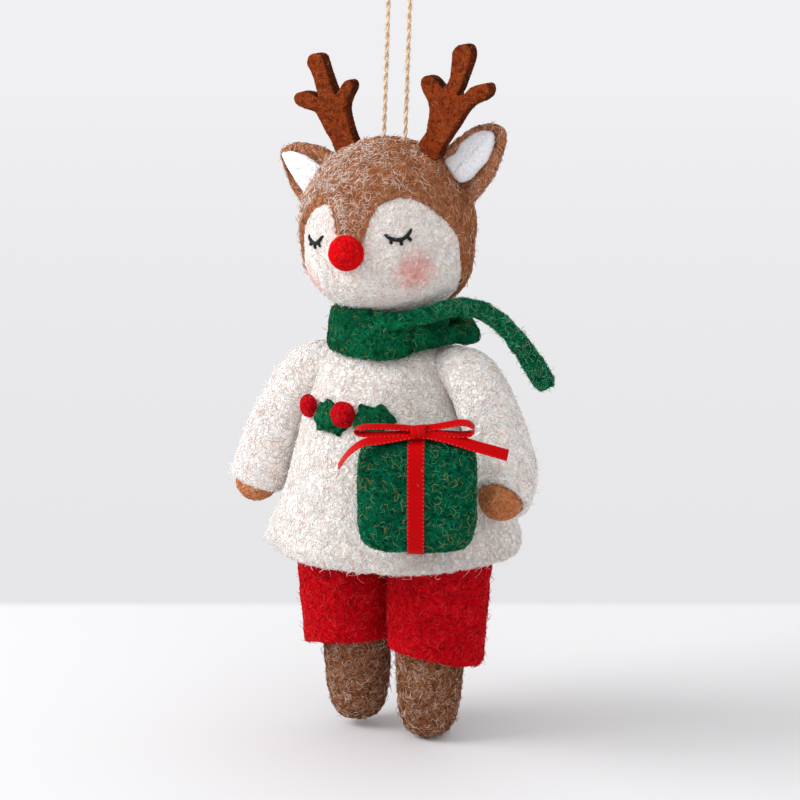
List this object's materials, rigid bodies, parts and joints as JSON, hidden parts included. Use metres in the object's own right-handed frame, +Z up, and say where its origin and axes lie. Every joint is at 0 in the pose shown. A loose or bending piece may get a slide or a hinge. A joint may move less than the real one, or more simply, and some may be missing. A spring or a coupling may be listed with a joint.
{
  "type": "reindeer ornament",
  "caption": "Hanging felt reindeer figure with antlers, scarf, tunic and shorts, holding a wrapped gift box, on a closed twine loop.",
  "frame": {"origin": "top of the twine loop, at the middle of the twine, where a hook or twig holds it", "axes": "+Z up along the hanging figure, the figure's front faces -Y, its left side is +X"},
  "size_m": [0.076, 0.0653, 0.1674],
  "materials": {
    "cream_felt": "soft wool felt, off-white with peach and brown flecks",
    "face_felt": "needle-felted wool, off-white with blushed cheeks",
    "hood_felt": "needle-felted brown wool with pale curly fibres",
    "leg_felt": "needle-felted dark brown wool with pale fibres",
    "antler_felt": "stiff pressed rust felt, cut edges darker",
    "green_felt": "green wool felt with straw-coloured fibres",
    "red_felt": "red wool felt",
    "nose_felt": "bright red felted ball",
    "white_felt": "white short-pile felt",
    "hand_felt": "needle-felted tan wool",
    "satin": "woven red satin ribbon",
    "twine": "two-ply natural jute",
    "stitch": "black embroidery floss",
    "stuffing": "firm undyed wool core"
  },
  "bodies": {
    "hanger": {"hanging_cord": "twine"},
    "figure": {"cord_anchor": "twine", "head_ball": "face_felt", "hood": "hood_felt", "nose": "nose_felt", "body_core": "stuffing", "tunic": "cream_felt", "scarf": "green_felt", "gift_box": "green_felt", "gift_ribbon": "satin", "ribbon_bow": "satin", "ribbon_knot": "satin", "shoulder_thread": "stitch", "hip_thread": "stitch", "holly_berry_1": "nose_felt", "holly_berry_2": "nose_felt", "holly_leaf_1": "green_felt", "holly_leaf_2": "green_felt", "antler_left": "antler_felt", "ear_left": "hood_felt", "ear_lining_left": "white_felt", "eye_left": "stitch", "antler_right": "antler_felt", "ear_right": "hood_felt", "ear_lining_right": "white_felt", "eye_right": "stitch"},
    "arm_left": {"sleeve_left": "cream_felt", "hand_left": "hand_felt"},
    "arm_right": {"sleeve_right": "cream_felt", "hand_right": "hand_felt"},
    "leg_left": {"leg_left": "leg_felt", "shorts_left": "red_felt"},
    "leg_right": {"leg_right": "leg_felt", "shorts_right": "red_felt"}
  },
  "joints": [
    {"name": "figure_swing", "type": "hinge", "parent": "hanger", "child": "figure", "pos_m": [-0.0013, 0, -0.0353], "axis": [1, 0, 0], "range_deg": [-20, 20]},
    {"name": "arm_left_swing", "type": "hinge", "parent": "figure", "child": "arm_left", "pos_m": [0.0142, -0.0006, -0.0854], "axis": [-1, 0, 0], "range_deg": [-25, 0]},
    {"name": "arm_right_swing", "type": "hinge", "parent": "figure", "child": "arm_right", "pos_m": [-0.0168, -0.0006, -0.0854], "axis": [-1, 0, 0], "range_deg": [-25, 60]},
    {"name": "leg_left_swing", "type": "hinge", "parent": "figure", "child": "leg_left", "pos_m": [0.0089, -0.0006, -0.1149], "axis": [-1, 0, 0], "range_deg": [-25, 25]},
    {"name": "leg_right_swing", "type": "hinge", "parent": "figure", "child": "leg_right", "pos_m": [-0.0115, -0.0006, -0.1149], "axis": [-1, 0, 0], "range_deg": [-25, 25]}
  ]
}
